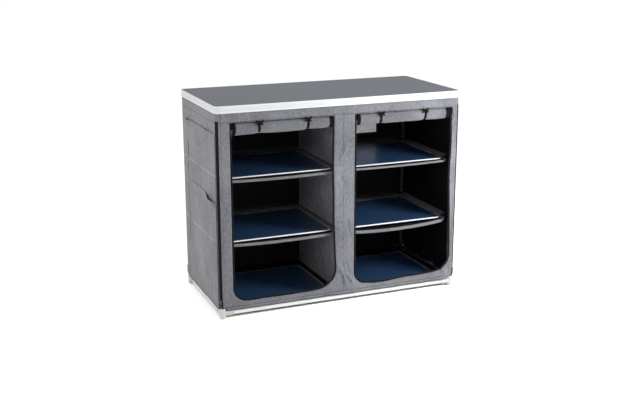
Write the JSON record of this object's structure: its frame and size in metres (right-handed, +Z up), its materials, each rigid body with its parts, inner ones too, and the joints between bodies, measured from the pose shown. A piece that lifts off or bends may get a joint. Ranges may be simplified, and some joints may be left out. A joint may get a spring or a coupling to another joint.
{
  "type": "camping cupboard",
  "caption": "Collapsible camping cupboard: hard worktop on a plug-together tube frame, fabric cover with zips, and shelf boards on fabric slings in two bays.",
  "frame": {"origin": "on the floor, under the middle of the cupboard", "axes": "+X to the user's right facing the doors, +Y to the back, +Z up"},
  "size_m": [1, 0.465, 0.805],
  "materials": {
    "aluminium": "satin",
    "connector_plastic": "satin",
    "worktop_laminate": "gloss",
    "shelf_laminate": "gloss",
    "cover_cloth": "matte",
    "inner_cloth": "matte",
    "sling_cloth": "matte",
    "zip_tape": "matte",
    "slider_metal": "satin",
    "vent_net": "matte",
    "button_steel": "satin"
  },
  "bodies": {
    "frame": {"bottom_connector_front_left": "connector_plastic", "top_connector_front_left": "connector_plastic", "leg_front_left": "aluminium", "corner_zip_front_left": "zip_tape", "bottom_connector_front_right": "connector_plastic", "top_connector_front_right": "connector_plastic", "leg_front_right": "aluminium", "corner_zip_front_right": "zip_tape", "bottom_connector_rear_left": "connector_plastic", "top_connector_rear_left": "connector_plastic", "leg_rear_left": "aluminium", "corner_zip_rear_left": "zip_tape", "bottom_connector_rear_right": "connector_plastic", "top_connector_rear_right": "connector_plastic", "leg_rear_right": "aluminium", "corner_zip_rear_right": "zip_tape", "bottom_rail_front": "aluminium", "bottom_rail_rear": "aluminium", "bottom_rail_left": "aluminium", "bottom_rail_right": "aluminium", "top_rail_front": "aluminium", "top_rail_rear": "aluminium", "top_rail_left": "aluminium", "top_rail_right": "aluminium", "shelf_sling_upper_left": "sling_cloth", "shelf_sling_lower_left": "sling_cloth", "left_panel": "cover_cloth", "door_roll_left": "cover_cloth", "door_tie_left_left": "zip_tape", "door_tie_left_right": "zip_tape", "shelf_sling_upper_right": "sling_cloth", "shelf_sling_lower_right": "sling_cloth", "right_panel": "cover_cloth", "door_roll_right": "cover_cloth", "door_tie_right_left": "zip_tape", "door_tie_right_right": "zip_tape", "front_panel": "cover_cloth", "rear_panel": "cover_cloth", "divider": "inner_cloth", "floor_cloth": "inner_cloth", "side_pockets": "cover_cloth", "vent_net": "vent_net"},
    "worktop": {"worktop_board": "worktop_laminate", "worktop_edge": "aluminium"},
    "board_upper_left": {"shelf_board_upper_left": "shelf_laminate"},
    "board_upper_right": {"shelf_board_upper_right": "shelf_laminate"},
    "board_lower_left": {"shelf_board_lower_left": "shelf_laminate"},
    "board_lower_right": {"shelf_board_lower_right": "shelf_laminate"},
    "board_floor_left": {"shelf_board_floor_left": "shelf_laminate"},
    "board_floor_right": {"shelf_board_floor_right": "shelf_laminate"},
    "button_front_left": {"snap_button_front_left": "button_steel"},
    "button_front_right": {"snap_button_front_right": "button_steel"},
    "button_rear_left": {"snap_button_rear_left": "button_steel"},
    "button_rear_right": {"snap_button_rear_right": "button_steel"},
    "corner_slider_front_left": {"corner_zip_slider_front_left": "slider_metal"},
    "corner_slider_front_right": {"corner_zip_slider_front_right": "slider_metal"},
    "corner_slider_rear_left": {"corner_zip_slider_rear_left": "slider_metal"},
    "corner_slider_rear_right": {"corner_zip_slider_rear_right": "slider_metal"},
    "door_slider_left": {"door_zip_slider_left": "slider_metal"},
    "door_slider_right": {"door_zip_slider_right": "slider_metal"}
  },
  "joints": [
    {"name": "worktop_lift", "type": "slide", "parent": "frame", "child": "worktop", "axis": [0, 0, 1], "range_m": [0, 0.1]},
    {"name": "board_upper_left_lift", "type": "slide", "parent": "frame", "child": "board_upper_left", "axis": [0, 0, 1], "range_m": [0, 0.15]},
    {"name": "board_upper_right_lift", "type": "slide", "parent": "frame", "child": "board_upper_right", "axis": [0, 0, 1], "range_m": [0, 0.15]},
    {"name": "board_lower_left_lift", "type": "slide", "parent": "frame", "child": "board_lower_left", "axis": [0, 0, 1], "range_m": [0, 0.15]},
    {"name": "board_lower_right_lift", "type": "slide", "parent": "frame", "child": "board_lower_right", "axis": [0, 0, 1], "range_m": [0, 0.15]},
    {"name": "board_floor_left_lift", "type": "slide", "parent": "frame", "child": "board_floor_left", "axis": [0, 0, 1], "range_m": [0, 0.15]},
    {"name": "board_floor_right_lift", "type": "slide", "parent": "frame", "child": "board_floor_right", "axis": [0, 0, 1], "range_m": [0, 0.15]},
    {"name": "button_front_left_press", "type": "slide", "parent": "frame", "child": "button_front_left", "axis": [0, 0, 1], "range_m": [0, 0.0035], "stiffness_N_per_m": 400, "springref_m": -0.002},
    {"name": "button_front_right_press", "type": "slide", "parent": "frame", "child": "button_front_right", "axis": [0, 0, 1], "range_m": [0, 0.0035], "stiffness_N_per_m": 400, "springref_m": -0.002},
    {"name": "button_rear_left_press", "type": "slide", "parent": "frame", "child": "button_rear_left", "axis": [0, 0, 1], "range_m": [0, 0.0035], "stiffness_N_per_m": 400, "springref_m": -0.002},
    {"name": "button_rear_right_press", "type": "slide", "parent": "frame", "child": "button_rear_right", "axis": [0, 0, 1], "range_m": [0, 0.0035], "stiffness_N_per_m": 400, "springref_m": -0.002},
    {"name": "corner_slider_front_left_run", "type": "slide", "parent": "frame", "child": "corner_slider_front_left", "axis": [0, 0, 1], "range_m": [0, 0.66]},
    {"name": "corner_slider_front_right_run", "type": "slide", "parent": "frame", "child": "corner_slider_front_right", "axis": [0, 0, 1], "range_m": [0, 0.66]},
    {"name": "corner_slider_rear_left_run", "type": "slide", "parent": "frame", "child": "corner_slider_rear_left", "axis": [0, 0, 1], "range_m": [0, 0.66]},
    {"name": "corner_slider_rear_right_run", "type": "slide", "parent": "frame", "child": "corner_slider_rear_right", "axis": [0, 0, 1], "range_m": [0, 0.66]},
    {"name": "door_slider_left_run", "type": "slide", "parent": "frame", "child": "door_slider_left", "axis": [0, 0, -1], "range_m": [0, 0.55]},
    {"name": "door_slider_right_run", "type": "slide", "parent": "frame", "child": "door_slider_right", "axis": [0, 0, -1], "range_m": [0, 0.55]}
  ]
}
